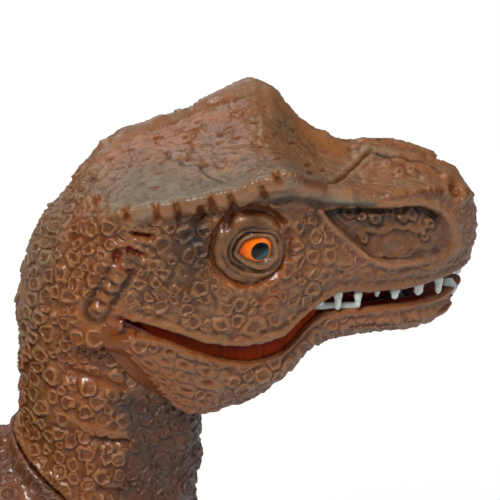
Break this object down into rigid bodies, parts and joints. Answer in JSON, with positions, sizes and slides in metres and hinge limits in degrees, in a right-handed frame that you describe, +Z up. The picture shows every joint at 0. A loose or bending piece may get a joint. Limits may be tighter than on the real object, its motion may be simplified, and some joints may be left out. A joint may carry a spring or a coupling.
{
  "type": "toy dinosaur figure",
  "caption": "Brown soft plastic meat-eating dinosaur figure on two feet, with hinged jaw and swivelling neck, arms, legs and tail.",
  "frame": {"origin": "under the middle of the figure's bounding box, on the surface it stands on", "axes": "+X from tail to snout, +Y to the figure's left, +Z up"},
  "size_m": [0.3299, 0.0898, 0.1777],
  "materials": {
    "skin": "semi-gloss soft PVC, brown over ochre",
    "body_skin": "semi-gloss soft PVC, grey-brown",
    "mouth": "dark red paint",
    "tooth": "white paint",
    "eye": "gloss orange with a black pupil",
    "steel": "plain",
    "plug": "matte"
  },
  "bodies": {
    "torso": {"torso_right_half": "body_skin", "torso_left_half": "body_skin", "torso_screw_1": "steel", "torso_screw_2": "steel", "torso_screw_3": "steel", "torso_screw_4": "steel"},
    "head": {"head_and_neck": "skin", "neck_spool": "plug", "eye_right": "eye", "eye_left": "eye", "upper_teeth": "tooth", "jaw_pin": "steel"},
    "jaw": {"lower_jaw": "skin", "tongue": "mouth", "lower_teeth": "tooth"},
    "right_arm": {"arm_right": "body_skin", "arm_plug_right": "plug"},
    "left_arm": {"arm_left": "body_skin", "arm_plug_left": "plug"},
    "right_leg": {"leg_right": "body_skin", "leg_plug_right": "plug"},
    "left_leg": {"leg_left": "body_skin", "leg_plug_left": "plug"},
    "tail": {"tail": "body_skin", "tail_spool": "plug"}
  },
  "joints": [
    {"name": "neck_swivel", "type": "hinge", "parent": "torso", "child": "head", "pos_m": [0.0881, 0, 0.09648], "axis": [0.6428, 0, 0.766], "range_deg": [-25, 25]},
    {"name": "jaw_hinge", "type": "hinge", "parent": "head", "child": "jaw", "pos_m": [0.0889, 0, 0.14398], "axis": [0, 1, 0], "range_deg": [-1, 11]},
    {"name": "right_shoulder", "type": "hinge", "parent": "torso", "child": "right_arm", "pos_m": [0.0821, -0.017, 0.08], "axis": [0, -1, 0], "range_deg": [-12, 60]},
    {"name": "left_shoulder", "type": "hinge", "parent": "torso", "child": "left_arm", "pos_m": [0.0821, 0.017, 0.08], "axis": [0, -1, 0], "range_deg": [-12, 60]},
    {"name": "right_hip", "type": "hinge", "parent": "torso", "child": "right_leg", "pos_m": [0.0291, -0.021, 0.086], "axis": [0, -1, 0], "range_deg": [-20, 2]},
    {"name": "left_hip", "type": "hinge", "parent": "torso", "child": "left_leg", "pos_m": [0.0291, 0.021, 0.086], "axis": [0, -1, 0], "range_deg": [-20, 2]},
    {"name": "tail_swivel", "type": "hinge", "parent": "torso", "child": "tail", "pos_m": [-0.0179, 0, 0.096], "axis": [0.9659, 0, 0.2588], "range_deg": [-30, 30]}
  ]
}
